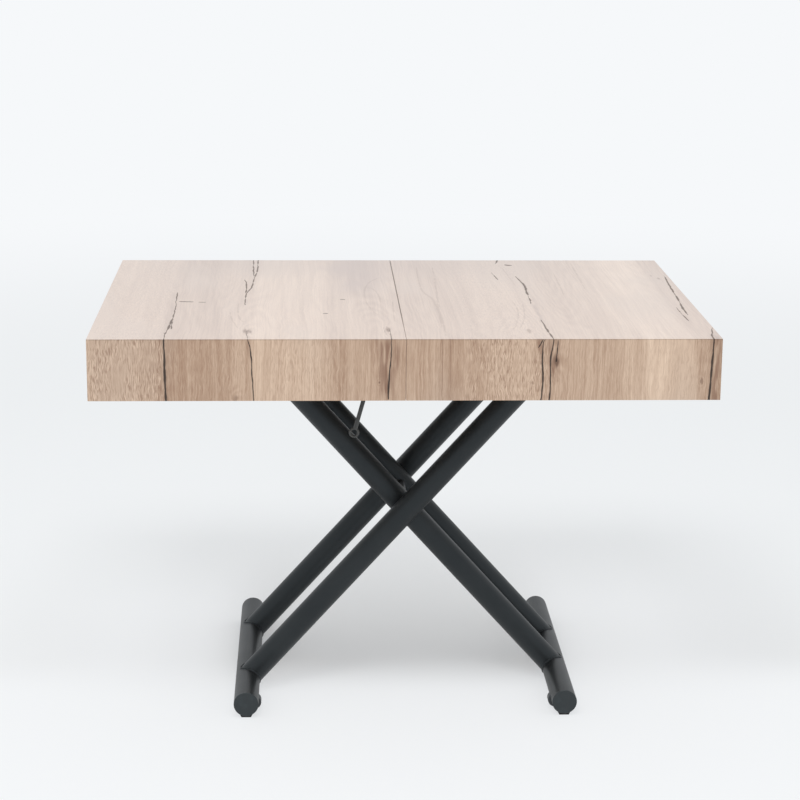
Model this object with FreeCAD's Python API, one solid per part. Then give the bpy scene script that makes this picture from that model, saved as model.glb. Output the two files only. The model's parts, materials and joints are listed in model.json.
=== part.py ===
import FreeCAD
import Part
import os
from math import cos, radians, sin, sqrt, tan

# Convertible coffee and dining table on a scissor base, raised to dining height.
# X runs along the table, Y away from the front edge and Z up, in millimetres.
# The origin is on the floor under the middle of the top.

# Table top: two halves, each a thin box of panel and edge boards with mitred edges
top_length = 1150.0
top_depth = 800.0
table_height = 777.0
edge_height = 114.0
board_thickness = 20.0
seam_gap = 0.6

# Two extension leaves stored flat under the panels
leaf_thickness = 20.0
leaf_clearance = 2.0
leaf_edge_clearance = 4.0

# Steel sub-frame inside the top
bar_width = 30.0
bar_height = 30.0
bar_wall = 2.0
beam_width = 20.0
beam_height = 50.0
end_plate_thickness = 6.0
end_plate_clearance = 4.0
rail_bar_lead = 45.0
gas_bar_setback = 77.0
pivot_bar_reach = 48.0

# Telescopic runners between the sub-frame and the edge boards
runner_space = 14.0
runner_height = 45.0
runner_drop = 5.0
runner_wall = 1.5
runner_lip = 7.0
runner_gap = 0.5
runner_seam_inset = 20.0

# Channel rails and the rollers that run in them
rail_wall = 2.5
rail_gap = 0.4
rail_side_gap = 1.0
rail_roller_diameter = 26.0
rail_roller_width = 12.0
rail_pin_diameter = 10.0
rail_shoulder = 4.0

# Leg frames: two tubes each, welded on a foot tube
leg_diameter = 47.0
leg_wall = 2.0
leg_angle = 48.0
leg_gap = 3.5
inner_leg_spacing = 167.0
foot_diameter = 48.0
foot_wall = 2.5
foot_length = 561.0
foot_spread = 619.0
base_offset = 11.0
lift_range = 32.0

# Pivots of the scissor
boss_diameter = 34.0
pivot_pin_diameter = 16.0
pin_head_diameter = 24.0
pin_head_height = 4.0
top_shaft_diameter = 20.0
axle_diameter = 20.0
axle_bush_diameter = 30.0
axle_bush_end = 5.0
bush_face_gap = 0.6
running_clearance = 0.05
bracket_plate = 5.0
bracket_gap = 0.5
bracket_round = 18.0

# Foot ends: caps, rubber pads and rollers on one shaft
cap_thickness = 3.0
cap_chamfer = 1.0
cap_plug = 14.0
pad_height = 4.0
pad_length = 22.0
pad_inset = 5.0
pad_floor_width = 18.5
pad_tube_width = 27.0
roller_diameter = 28.0
roller_width = 20.0
roller_chamfer = 1.5
roller_offset = 17.0
roller_angle = 60.0
roller_inset = 42.0
roller_slot_gap = 1.0
roller_shaft_diameter = 8.0
shaft_seat = 10.0

# Lockable gas spring that pulls the sliding pivot
cylinder_diameter = 26.0
cylinder_wall = 2.5
cylinder_end = 8.0
head_diameter = 30.0
head_length = 60.0
rod_diameter = 10.0
rod_gap = 0.3
piston_length = 14.0
piston_spare = 20.0
eye_diameter = 32.0
eye_width = 20.0
gas_plate = 8.0
gas_plate_width = 50.0
gas_plate_drop = 36.0
stud_diameter = 10.0
stud_length = 16.0

# Release lever: a bent rod with a finger ring
lever_rod_diameter = 8.0
lever_setback = 150.0
lever_lead = 39.0
lever_length = 130.0
lever_splay = 15.5
lever_bend = 14.0
lever_end_gap = 2.0
ring_diameter = 20.0
ring_rod_diameter = 4.5
clip_thickness = 5.0
clip_round = 9.0
clip_inset = 35.0

# Levels below the top face
half_length = top_length / 2
half_depth = top_depth / 2
board_inner_y = half_depth - board_thickness
leaf_width = board_inner_y - leaf_clearance - leaf_edge_clearance
leaf_top = table_height - board_thickness - leaf_clearance
bar_top = leaf_top - leaf_thickness
bar_bottom = bar_top - bar_height
rail_inner_height = rail_roller_diameter + 2 * rail_gap
rail_bottom = bar_bottom - rail_inner_height - 2 * rail_wall
pivot_z = bar_bottom - rail_wall - rail_inner_height / 2

# Places of the scissor's pivots
leg_radius = leg_diameter / 2
foot_radius = foot_diameter / 2
foot_z = foot_radius + pad_height
foot_half = foot_length / 2
left_foot_x = base_offset - foot_spread / 2
right_foot_x = base_offset + foot_spread / 2
crossing_z = foot_z + foot_spread / 2 * tan(radians(leg_angle))
upper_run = (pivot_z - crossing_z) / tan(radians(leg_angle))
upper_arm = (pivot_z - crossing_z) / sin(radians(leg_angle))
fixed_pivot_x = base_offset + upper_run
sliding_pivot_x = base_offset - upper_run
slide_travel = 2 * upper_arm * cos(radians(leg_angle - lift_range)) - 2 * upper_run
inner_y = inner_leg_spacing / 2
outer_y = inner_y + leg_diameter + leg_gap

# Places of the sub-frame's members
beam_outer_y = board_inner_y - runner_space
beam_inner_y = beam_outer_y - beam_width
plate_x = half_length - board_thickness - end_plate_clearance - end_plate_thickness
rail_inner_y = inner_y + leg_radius + rail_shoulder
rail_roller_y = rail_inner_y + rail_side_gap
rail_web_y = rail_roller_y + rail_roller_width + rail_side_gap
rail_bar_x = sliding_pivot_x + rail_bar_lead
gas_bar_x = fixed_pivot_x - gas_bar_setback
pivot_bar_x = fixed_pivot_x + pivot_bar_reach

# Places of the gas spring and the release lever
cylinder_length = slide_travel + piston_length + piston_spare + 2 * cylinder_end
anchor_x = gas_bar_x - bar_width / 2
mouth_x = anchor_x - cylinder_length
lever_x = mouth_x + lever_lead
lever_y = -half_depth + lever_setback

X_AXIS = FreeCAD.Vector(1, 0, 0)
Y_AXIS = FreeCAD.Vector(0, 1, 0)
Z_AXIS = FreeCAD.Vector(0, 0, 1)
ORIGIN = FreeCAD.Vector(0, 0, 0)
SIDES = {"front": -1, "rear": 1}
ENDS = {"left": -1, "right": 1}


def block(x_span, y_span, z_span):
    """Box between two values along each axis, given in any order."""
    low = [min(span) for span in (x_span, y_span, z_span)]
    size = [abs(span[1] - span[0]) for span in (x_span, y_span, z_span)]
    return Part.makeBox(*size, FreeCAD.Vector(*low))


def rod(start, end, diameter):
    """Solid round bar from one point to another."""
    along = end - start
    return Part.makeCylinder(diameter / 2, along.Length, start, along)


def bar_across(x, y_span, z, diameter):
    """Round bar along Y."""
    return rod(FreeCAD.Vector(x, min(y_span), z), FreeCAD.Vector(x, max(y_span), z), diameter)


def prism(points, sweep):
    """Flat outline pushed along a vector."""
    return Part.Face(Part.makePolygon(points + points[:1])).extrude(sweep)


def turned(profile, base, direction):
    """Outline of (radius, distance) pairs turned about a line from base."""
    points = [FreeCAD.Vector(radius, 0, along) for radius, along in profile]
    solid = Part.Face(Part.makePolygon(points + points[:1])).revolve(ORIGIN, Z_AXIS, 360)
    solid.Placement = FreeCAD.Placement(base, FreeCAD.Rotation(Z_AXIS, direction))
    return solid


def box_tube(x_span, y_span, z_span, wall, open_axis):
    """Rectangular tube, open at both ends of one axis."""
    spans = [x_span, y_span, z_span]
    hollow = [
        span if axis == open_axis else (min(span) + wall, max(span) - wall)
        for axis, span in enumerate(spans)
    ]
    return block(*spans).cut(block(*hollow))


def save(name, shape):
    """One file for one piece."""
    shape.exportStep("parts/" + name + ".step")


def half_top(end):
    """Panel, front, rear and end boards of one half; each mitre plane halves its corner."""
    t = board_thickness
    outer_x = end * half_length
    seam_x = end * seam_gap / 2
    bottom = table_height - edge_height

    def corner(side, from_end, from_side, from_top):
        """Point at given depths behind the end, side and top faces."""
        return FreeCAD.Vector(
            outer_x - end * from_end, side * (half_depth - from_side), table_height - from_top
        )

    panel = block((outer_x, seam_x), (-half_depth, half_depth), (table_height, table_height - t))
    across = FreeCAD.Vector(0, top_depth, 0)
    along = FreeCAD.Vector(-end * half_length, 0, 0)
    down = FreeCAD.Vector(0, 0, -edge_height)
    panel = panel.cut(prism([corner(-1, 0, 0, 0), corner(-1, 0, 0, t), corner(-1, t, 0, t)], across))
    end_outline = [
        corner(-1, 0, 0, 0), corner(-1, t, 0, t),
        corner(-1, t, 0, edge_height), corner(-1, 0, 0, edge_height),
    ]
    end_board = prism(end_outline, across)
    boards = {}
    for name, side in SIDES.items():
        panel_mitre = [corner(side, 0, 0, 0), corner(side, 0, 0, t), corner(side, 0, t, t)]
        panel = panel.cut(prism(panel_mitre, along))
        end_mitre = [corner(side, 0, 0, 0), corner(side, t, 0, 0), corner(side, t, t, 0)]
        end_board = end_board.cut(prism(end_mitre, down))
        board_outline = [
            corner(side, 0, 0, 0), corner(side, 0, t, t),
            corner(side, 0, t, edge_height), corner(side, 0, 0, edge_height),
        ]
        board_mitre = [corner(side, 0, 0, 0), corner(side, 0, t, 0), corner(side, t, t, 0)]
        board = prism(board_outline, along).cut(prism(board_mitre, down))
        seam = block((0, seam_x), (-half_depth, half_depth), (bottom, table_height))
        boards[name] = board.cut(seam)
    return panel, boards, end_board


def channel(x_span, web_y, lip_y, top, height, wall):
    """Channel along X with its web at web_y and its lips reaching to lip_y."""
    inward = 1 if lip_y > web_y else -1
    hollow = block(x_span, (web_y + inward * wall, lip_y), (top - wall, top - height + wall))
    return block(x_span, (web_y, lip_y), (top, top - height)).cut(hollow)


def fixed_runner(side):
    """Long channel on a side beam, in which the runners of both halves slide."""
    top = bar_top - runner_drop
    lip_y = beam_outer_y + runner_wall + runner_lip
    x_span = (-plate_x, plate_x)
    return channel(x_span, side * beam_outer_y, side * lip_y, top, runner_height, runner_wall)


def sliding_runner(end, side):
    """Middle channel and slide bar of one half, each nested in the channel round it."""
    x_span = (end * runner_seam_inset, end * plate_x)
    nest = runner_wall + runner_gap
    middle_web = beam_outer_y + nest
    middle_lip = middle_web + runner_wall + runner_lip
    middle_top = bar_top - runner_drop - nest
    middle_height = runner_height - 2 * nest
    middle = channel(
        x_span, side * middle_web, side * middle_lip, middle_top, middle_height, runner_wall
    )
    bar_lip = middle_web + nest
    bar = channel(
        x_span, side * board_inner_y, side * bar_lip,
        middle_top - nest, middle_height - 2 * nest, runner_wall,
    )
    return middle, bar


def leg(foot_x, y, pivot_x, bore):
    """Tube from the foot tube to its upper pivot, coped at both ends, with a boss across the top."""
    foot = FreeCAD.Vector(foot_x, y, foot_z)
    pivot = FreeCAD.Vector(pivot_x, y, pivot_z)
    y_span = (y - leg_radius, y + leg_radius)
    tube = rod(foot, pivot, leg_diameter).cut(rod(foot, pivot, leg_diameter - 2 * leg_wall))
    tube = tube.cut(bar_across(foot_x, (-foot_half, foot_half), foot_z, foot_diameter))
    boss = bar_across(pivot_x, y_span, pivot_z, boss_diameter)
    boss_hole = bar_across(pivot_x, y_span, pivot_z, bore)
    return tube.cut(boss).fuse(boss).cut(boss_hole)


def outer_leg(side):
    """Outer leg with the blind bush that takes the crossing axle, hidden from outside."""
    y = side * outer_y
    face_y = side * (inner_y + leg_radius + bush_face_gap)
    end_y = side * (outer_y + axle_bush_end)
    bush = bar_across(base_offset, (face_y, end_y), crossing_z, axle_bush_diameter)
    bore = axle_diameter + 2 * running_clearance
    hole = bar_across(base_offset, (face_y, y), crossing_z, bore)
    tube = leg(left_foot_x, y, fixed_pivot_x, pivot_pin_diameter + 2 * running_clearance)
    return tube.fuse(bush).cut(hole)


def inner_leg(side):
    """Inner leg, bored for the crossing axle that is welded in it."""
    y = side * inner_y
    y_span = (y - leg_radius, y + leg_radius)
    hole = bar_across(base_offset, y_span, crossing_z, axle_diameter)
    return leg(right_foot_x, y, sliding_pivot_x, top_shaft_diameter).cut(hole)


def roller_centre(foot_x, inward):
    """Middle line of a foot's rollers, on the side that turns down as the table sinks."""
    turn = radians(roller_angle)
    return foot_x + inward * roller_offset * sin(turn), foot_z - roller_offset * cos(turn)


def roller_spans():
    """Stretch along Y of the front and the rear roller."""
    middle = foot_half - roller_inset
    return {
        name: (side * middle - roller_width / 2, side * middle + roller_width / 2)
        for name, side in SIDES.items()
    }


def foot_tube(foot_x, inward):
    """Foot tube with a slot for each roller."""
    ends = (-foot_half + cap_thickness, foot_half - cap_thickness)
    tube = bar_across(foot_x, ends, foot_z, foot_diameter)
    tube = tube.cut(bar_across(foot_x, ends, foot_z, foot_diameter - 2 * foot_wall))
    x, z = roller_centre(foot_x, inward)
    for low, high in roller_spans().values():
        slot = (low - roller_slot_gap, high + roller_slot_gap)
        tube = tube.cut(bar_across(x, slot, z, roller_diameter + 2 * roller_slot_gap))
    return tube


def cap(foot_x, inward, side):
    """Plastic end cap whose plug carries the end of the roller shaft."""
    radius = foot_radius
    plug_radius = foot_radius - foot_wall
    depth = cap_thickness + cap_plug
    profile = [
        (0, 0), (radius - cap_chamfer, 0), (radius, cap_chamfer), (radius, cap_thickness),
        (plug_radius, cap_thickness), (plug_radius, depth), (0, depth),
    ]
    face = FreeCAD.Vector(foot_x, side * foot_half, foot_z)
    body = turned(profile, face, -side * Y_AXIS)
    x, z = roller_centre(foot_x, inward)
    bore = roller_shaft_diameter + 2 * running_clearance
    inner_end = side * (foot_half - depth)
    return body.cut(bar_across(x, (inner_end, inner_end + side * shaft_seat), z, bore))


def pad(foot_x, side):
    """Rubber pad, wider at the tube than at the floor, hollowed to sit on it."""
    outer_end = side * (foot_half - pad_inset)
    rise = foot_z - sqrt(foot_radius ** 2 - (pad_tube_width / 2) ** 2)
    outline = [
        FreeCAD.Vector(foot_x - pad_floor_width / 2, outer_end, 0),
        FreeCAD.Vector(foot_x + pad_floor_width / 2, outer_end, 0),
        FreeCAD.Vector(foot_x + pad_tube_width / 2, outer_end, rise),
        FreeCAD.Vector(foot_x - pad_tube_width / 2, outer_end, rise),
    ]
    body = prism(outline, -side * pad_length * Y_AXIS)
    return body.cut(bar_across(foot_x, (-foot_half, foot_half), foot_z, foot_diameter))


def roller(x, y_span, z, diameter, bore, chamfer):
    """Roller with a bore and chamfered rims."""
    low, high = y_span
    width = high - low
    profile = [
        (bore / 2, 0), (diameter / 2 - chamfer, 0), (diameter / 2, chamfer),
        (diameter / 2, width - chamfer), (diameter / 2 - chamfer, width), (bore / 2, width),
    ]
    return turned(profile, FreeCAD.Vector(x, low, z), Y_AXIS)


def pivot_bar():
    """Crossbar with two plates round the top of each outer leg."""
    bar = crossbar(pivot_bar_x)
    left = fixed_pivot_x
    right = pivot_bar_x + bar_width / 2
    for side in SIDES.values():
        for reach in (-leg_radius - bracket_gap - bracket_plate, leg_radius + bracket_gap):
            y_span = (side * outer_y + reach, side * outer_y + reach + bracket_plate)
            lug = bar_across(left, y_span, pivot_z, 2 * bracket_round)
            arm = block((left, right), y_span, (bar_bottom, pivot_z - bracket_round))
            plate = lug.fuse(arm).common(
                block((left - bracket_round, right), y_span, (bar_bottom, pivot_z - bracket_round))
            )
            bar = bar.fuse(plate.cut(bar_across(left, y_span, pivot_z, pivot_pin_diameter)))
    return bar


def crossbar(x):
    """Rectangular tube across the sub-frame."""
    x_span = (x - bar_width / 2, x + bar_width / 2)
    return box_tube(x_span, (-beam_inner_y, beam_inner_y), (bar_bottom, bar_top), bar_wall, 1)


def pivot_pin(side):
    """Pin through a leg's boss and its two plates, with its head on the outer plate."""
    reach = leg_radius + bracket_gap + bracket_plate
    outer_face = side * (outer_y + reach)
    head_span = (outer_face, outer_face + side * pin_head_height)
    stem = bar_across(fixed_pivot_x, (side * (outer_y - reach), outer_face), pivot_z, pivot_pin_diameter)
    return stem.fuse(bar_across(fixed_pivot_x, head_span, pivot_z, pin_head_diameter))


def gas_bar():
    """Crossbar with the plate that anchors the gas spring."""
    plate_y = (-gas_plate_width / 2, gas_plate_width / 2)
    plate = block((anchor_x, anchor_x + gas_plate), plate_y, (bar_bottom, bar_bottom - gas_plate_drop))
    start = FreeCAD.Vector(anchor_x, 0, pivot_z)
    hole = rod(start, start + gas_plate * X_AXIS, stud_diameter)
    return crossbar(gas_bar_x).fuse(plate.cut(hole))


def lever_bar():
    """Crossbar with two clips for the release lever's shaft."""
    bar = crossbar(lever_x)
    bore = lever_rod_diameter + 2 * running_clearance
    for y in (-clip_inset, lever_y + clip_inset):
        y_span = (y - clip_thickness / 2, y + clip_thickness / 2)
        lug = bar_across(lever_x, y_span, pivot_z, 2 * clip_round)
        stem = block((lever_x - clip_round, lever_x + clip_round), y_span, (bar_bottom, pivot_z))
        bar = bar.fuse(lug.fuse(stem).cut(bar_across(lever_x, y_span, pivot_z, bore)))
    return bar


def gas_cylinder():
    """Cylinder with its head at the rod end and a stud at the anchored end."""
    bore = cylinder_diameter / 2 - cylinder_wall
    guide = rod_diameter / 2 + rod_gap
    inside = cylinder_length - cylinder_end
    profile = [
        (0, -stud_length), (stud_diameter / 2, -stud_length), (stud_diameter / 2, 0),
        (cylinder_diameter / 2, 0), (cylinder_diameter / 2, cylinder_length - head_length),
        (head_diameter / 2, cylinder_length - head_length), (head_diameter / 2, cylinder_length),
        (guide, cylinder_length), (guide, inside), (bore, inside),
        (bore, cylinder_end), (0, cylinder_end),
    ]
    return turned(profile, FreeCAD.Vector(anchor_x, 0, pivot_z), -X_AXIS)


def gas_rod():
    """Piston, rod and the eye that turns on the sliding shaft."""
    piston_radius = cylinder_diameter / 2 - cylinder_wall - rod_gap
    inside = mouth_x + cylinder_end + slide_travel + piston_length
    reach = inside - sliding_pivot_x
    profile = [
        (0, 0), (piston_radius, 0), (piston_radius, piston_length),
        (rod_diameter / 2, piston_length), (rod_diameter / 2, reach), (0, reach),
    ]
    stem = turned(profile, FreeCAD.Vector(inside, 0, pivot_z), -X_AXIS)
    y_span = (-eye_width / 2, eye_width / 2)
    eye = bar_across(sliding_pivot_x, y_span, pivot_z, eye_diameter)
    bore = top_shaft_diameter + 2 * running_clearance
    return stem.fuse(eye).cut(bar_across(sliding_pivot_x, y_span, pivot_z, bore))


def top_shaft():
    """Shaft through the inner legs' bosses, stepped down for the rail rollers."""
    shoulder = inner_y + leg_radius + rail_shoulder
    tip = rail_roller_y + rail_roller_width
    wide = bar_across(sliding_pivot_x, (-shoulder, shoulder), pivot_z, top_shaft_diameter)
    return wide.fuse(bar_across(sliding_pivot_x, (-tip, tip), pivot_z, rail_pin_diameter))


def release_lever():
    """Shaft along Y, bent down into an arm that ends in a ring."""
    splay = radians(lever_splay)
    arm = FreeCAD.Vector(-sin(splay), 0, -cos(splay))
    start = FreeCAD.Vector(lever_x, -head_diameter / 2 - lever_end_gap, pivot_z)
    corner = FreeCAD.Vector(lever_x, lever_y, pivot_z)
    ring_radius = (ring_diameter - ring_rod_diameter) / 2
    ring_centre = corner + arm * lever_length
    bend_start = corner + Y_AXIS * lever_bend
    bend_end = corner + arm * lever_bend
    hub = bend_start + arm * lever_bend
    outward = (corner - hub).normalize()
    path = Part.Wire([
        Part.LineSegment(start, bend_start).toShape(),
        Part.Arc(bend_start, hub + outward * lever_bend, bend_end).toShape(),
        Part.LineSegment(bend_end, ring_centre - arm * ring_radius).toShape(),
    ])
    section = Part.Wire([Part.makeCircle(lever_rod_diameter / 2, start, Y_AXIS)])
    bent = path.makePipeShell([section], True, False)
    return bent.fuse(Part.makeTorus(ring_radius, ring_rod_diameter / 2, ring_centre, Y_AXIS))


os.makedirs("parts", exist_ok=True)

# Table top halves with their runners
for end_name, end in ENDS.items():
    panel, boards, end_board = half_top(end)
    save(end_name + "_panel", panel)
    save(end_name + "_end_board", end_board)
    for side_name, side in SIDES.items():
        save(end_name + "_" + side_name + "_board", boards[side_name])
        middle, slide_bar = sliding_runner(end, side)
        save(end_name + "_" + side_name + "_mid_runner", middle)
        save(end_name + "_" + side_name + "_slide_bar", slide_bar)

# Leaves and sub-frame
beam_span = (-plate_x, plate_x)
for name, side in SIDES.items():
    leaf_span = (side * leaf_clearance, side * (leaf_clearance + leaf_width))
    save(name + "_leaf", block((-half_depth, half_depth), leaf_span, (bar_top, leaf_top)))
    beam_y = (side * beam_inner_y, side * beam_outer_y)
    beam_z = (bar_top, bar_top - beam_height)
    save(name + "_side_beam", box_tube(beam_span, beam_y, beam_z, bar_wall, 0))
    save(name + "_fixed_runner", fixed_runner(side))
    rail_span = (-plate_x, rail_bar_x + bar_width / 2)
    rail_height = rail_inner_height + 2 * rail_wall
    web_y = side * (rail_web_y + rail_wall)
    lip_y = side * rail_inner_y
    save(name + "_rail", channel(rail_span, web_y, lip_y, bar_bottom, rail_height, rail_wall))
    save(name + "_pivot_pin", pivot_pin(side))
for name, end in ENDS.items():
    plate_span = (end * plate_x, end * (plate_x + end_plate_thickness))
    save(name + "_end_plate", block(plate_span, (-beam_outer_y, beam_outer_y), (bar_top, rail_bottom)))
save("rail_crossbar", crossbar(rail_bar_x))
save("lever_crossbar", lever_bar())
save("gas_crossbar", gas_bar())
save("pivot_crossbar", pivot_bar())

# Gas spring and release lever
save("gas_cylinder", gas_cylinder())
save("gas_rod", gas_rod())
save("release_lever", release_lever())

# Leg frames, with the shafts that join them
for name, side in SIDES.items():
    save("outer_" + name + "_leg", outer_leg(side))
    save("inner_" + name + "_leg", inner_leg(side))
    roller_span = [side * y for y in (rail_roller_y, rail_roller_y + rail_roller_width)]
    rail_bore = rail_pin_diameter + 2 * running_clearance
    rail_roller = roller(
        sliding_pivot_x, (min(roller_span), max(roller_span)), pivot_z,
        rail_roller_diameter, rail_bore, roller_chamfer,
    )
    save(name + "_rail_roller", rail_roller)
save("inner_top_shaft", top_shaft())
save("scissor_axle", bar_across(base_offset, (-outer_y, outer_y), crossing_z, axle_diameter))

# Feet
for end_name, end in ENDS.items():
    foot_x = left_foot_x if end_name == "left" else right_foot_x
    inward = -end
    save(end_name + "_foot", foot_tube(foot_x, inward))
    x, z = roller_centre(foot_x, inward)
    shaft_end = foot_half - cap_thickness - cap_plug + shaft_seat
    save(end_name + "_roller_shaft", bar_across(x, (-shaft_end, shaft_end), z, roller_shaft_diameter))
    for side_name, side in SIDES.items():
        piece = end_name + "_" + side_name
        save(piece + "_cap", cap(foot_x, inward, side))
        save(piece + "_pad", pad(foot_x, side))
        span = roller_spans()[side_name]
        bore = roller_shaft_diameter
        save(piece + "_roller", roller(x, span, z, roller_diameter, bore, roller_chamfer))
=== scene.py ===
# %% [markdown]
# # An extending table on a scissor base
# The table is already a set of exact solids with joints. This lesson loads them as a fixed
# frame and gives them their looks: a boxed oak top, dark powder-coated legs and the small
# steel and plastic pieces of the mechanism. Every length is in metres and every piece keeps
# the place that the frame gives it.

import json

import bpy
import numpy as np
from mathutils import Matrix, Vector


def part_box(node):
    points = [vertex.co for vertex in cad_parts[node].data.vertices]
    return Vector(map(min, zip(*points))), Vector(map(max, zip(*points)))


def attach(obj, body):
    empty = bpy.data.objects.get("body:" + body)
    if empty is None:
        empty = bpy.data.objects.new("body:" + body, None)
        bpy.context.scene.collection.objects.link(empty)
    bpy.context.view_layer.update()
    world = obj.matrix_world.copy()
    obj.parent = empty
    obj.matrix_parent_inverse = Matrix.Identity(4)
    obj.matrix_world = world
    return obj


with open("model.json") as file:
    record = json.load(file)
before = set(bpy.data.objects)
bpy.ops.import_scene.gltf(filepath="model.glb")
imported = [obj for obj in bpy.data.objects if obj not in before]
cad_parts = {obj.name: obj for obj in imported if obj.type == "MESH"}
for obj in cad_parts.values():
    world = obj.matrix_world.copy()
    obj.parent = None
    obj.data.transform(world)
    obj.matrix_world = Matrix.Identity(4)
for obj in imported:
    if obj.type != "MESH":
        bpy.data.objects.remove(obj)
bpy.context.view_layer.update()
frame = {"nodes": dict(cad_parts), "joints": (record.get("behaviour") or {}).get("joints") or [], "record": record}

# %% [markdown]
# ## The camera
# The picture was taken from a little left of the middle, well above the top and from about
# four metres away, with a long lens. Three turns describe where it points: to the right,
# down, and a very small roll. Building the camera's three directions from them keeps the
# numbers readable, where an Euler triple would hide them.

# %% Camera
camera_place = np.array([-0.1776, -4.1990, 1.6065])
turn_right, turn_down, roll = np.radians([2.516, 13.918, 0.485])
sensor_width = 36.0
photo_width = 800
focal_length_px = 2158.15


def stand(thing, right, up, back, place):
    """Put a camera or a lamp in its place: it looks against `back`, with its own right and up."""
    pose = np.eye(4)
    pose[:3] = np.column_stack([right, up, back, place])
    thing.matrix_world = Matrix(pose)
    bpy.context.scene.collection.objects.link(thing)


ahead = np.array([
    np.sin(turn_right) * np.cos(turn_down),
    np.cos(turn_right) * np.cos(turn_down),
    -np.sin(turn_down),
])
level = np.array([np.cos(turn_right), -np.sin(turn_right), 0.0])
upright = np.cross(level, ahead)
camera_right = level * np.cos(roll) + upright * np.sin(roll)
camera_up = upright * np.cos(roll) - level * np.sin(roll)

camera = bpy.data.objects.new("camera", bpy.data.cameras.new("camera"))
camera.data.sensor_width = sensor_width
camera.data.lens = focal_length_px / photo_width * sensor_width
stand(camera, camera_right, camera_up, -ahead, camera_place)
bpy.context.scene.camera = camera
print("lens:", round(camera.data.lens, 1), "mm")

# %% [markdown]
# ## Formulas as nodes
# A material is a formula, and a formula is easier to read as a line of sums than as a chain
# of node calls. So one small class wraps a node's socket: adding or multiplying two wires
# adds the Math node that does it. All other nodes come from its one method `node`.

# %% Wire: a socket that can stand in a formula
class Wire:
    """One socket of a node tree."""

    mix_share, mix_at_zero, mix_at_one, mix_colour = 0, 6, 7, 2

    def __init__(self, tree, socket):
        self.tree = tree
        self.socket = socket

    def node(self, kind, settings=None, sockets=None, out=0):
        """Any node: its settings come first, then the values or links of its sockets."""
        made = self.tree.nodes.new(kind)
        for name, value in (settings or {}).items():
            if name == "bends":
                set_bends(made.mapping, value)
            else:
                setattr(made, name, value)
        for name, value in (sockets or {}).items():
            if isinstance(value, Wire):
                self.tree.links.new(value.socket, made.inputs[name])
            else:
                made.inputs[name].default_value = value
        return Wire(self.tree, made.outputs[out] if made.outputs else None)

    def also(self, out):
        """Another output of the same node."""
        return Wire(self.tree, self.socket.node.outputs[out])

    def math(self, operation, *values):
        """A Math node with these values in its sockets, one after another."""
        return self.node("ShaderNodeMath", {"operation": operation}, dict(enumerate(values)))

    def __add__(self, other):
        return self.math("ADD", self, other)

    def __sub__(self, other):
        return self.math("SUBTRACT", self, other)

    def __rsub__(self, other):
        return self.math("SUBTRACT", other, self)

    def __mul__(self, other):
        return self.math("MULTIPLY", self, other)

    def __truediv__(self, other):
        return self.math("DIVIDE", self, other)

    def __abs__(self):
        return self.math("ABSOLUTE", self)

    __radd__ = __add__
    __rmul__ = __mul__

    def xyz(self):
        """The three numbers of a place."""
        x = self.node("ShaderNodeSeparateXYZ", {}, {"Vector": self})
        return x, x.also(1), x.also(2)

    def rise(self, low, high):
        """0 below low, 1 above high and a smooth rise between; falls where low is above high."""
        sockets = {"Value": self, "From Min": low, "From Max": high}
        return self.node("ShaderNodeMapRange", {"interpolation_type": "SMOOTHSTEP"}, sockets)

    def tint(self, at_zero, at_one):
        """Colour between two, with this wire as the share of the second."""
        sockets = {self.mix_share: self, self.mix_at_zero: at_zero, self.mix_at_one: at_one}
        return self.node("ShaderNodeMix", {"data_type": "RGBA"}, sockets, out=self.mix_colour)


def set_bends(mapping, bends):
    """Points of a curve from 0 to 1."""
    points = mapping.curves[0].points
    for place, height in bends[1:-1]:
        points.new(place, height)
    points[0].location = bends[0]
    points[len(points) - 1].location = bends[-1]
    mapping.update()


print("wire operators:", sorted(n for n in vars(Wire) if n.startswith("__r")))

# %% [markdown]
# ## Colours and empty materials
# A colour that is read off a screen isn't what a shader counts with: screens store a curve, and
# light adds up along a straight line. `paint` turns one into the other. Every pattern starts from
# the place on the piece in metres, so a grain keeps its size on a large board and on a small one.

# %% Colours and materials
screen_white = 255
toe_end, toe_slope = 0.04045, 12.92
curve_lift, curve_power = 0.055, 2.4


def paint(red, green, blue):
    """A colour as it looks on a screen, 0 to 255, as the linear values that shaders use.

    The darkest values lie on a short straight toe, all others on a lifted power curve.
    """
    share = np.array([red, green, blue]) / screen_white
    curve = ((share + curve_lift) / (1 + curve_lift)) ** curve_power
    linear = np.where(share <= toe_end, share / toe_slope, curve)
    return (*linear.tolist(), 1.0)


def brighter(colour, factor):
    """The same colour with more light in it, or less where the factor is below 1."""
    return tuple(factor * part for part in colour[:3]) + (1.0,)


def new_finish(name):
    """An empty material, and the wire that carries the place on the piece in metres."""
    finish = bpy.data.materials.new(name)
    finish.use_nodes = True
    finish.node_tree.nodes.clear()
    coordinates = finish.node_tree.nodes.new("ShaderNodeTexCoord")
    return finish, Wire(finish.node_tree, coordinates.outputs["Object"])


def close_finish(place, sockets, height, depth):
    """Principled shader with these sockets, and a bump of that depth from the height."""
    bump = place.node("ShaderNodeBump", {}, {"Height": height, "Distance": depth, "Strength": 1.0})
    shader = place.node("ShaderNodeBsdfPrincipled", {}, {**sockets, "Normal": bump})
    place.node("ShaderNodeOutputMaterial", {}, {"Surface": shader})


print("middle grey of a screen is", round(paint(128, 128, 128)[0], 3), "of white")

# %% [markdown]
# ## A floor of paper
# The table stood in a white tent on paper that runs on without a horizon. A square would do, but
# a disc reaches equally far on all sides, so no view comes close to its rim. A grid of rings and
# spokes makes it: the first ring has no size and closes the middle.

# %% Floor
floor_radius = 60.0
floor_rings, floor_spokes = 12, 48


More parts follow.
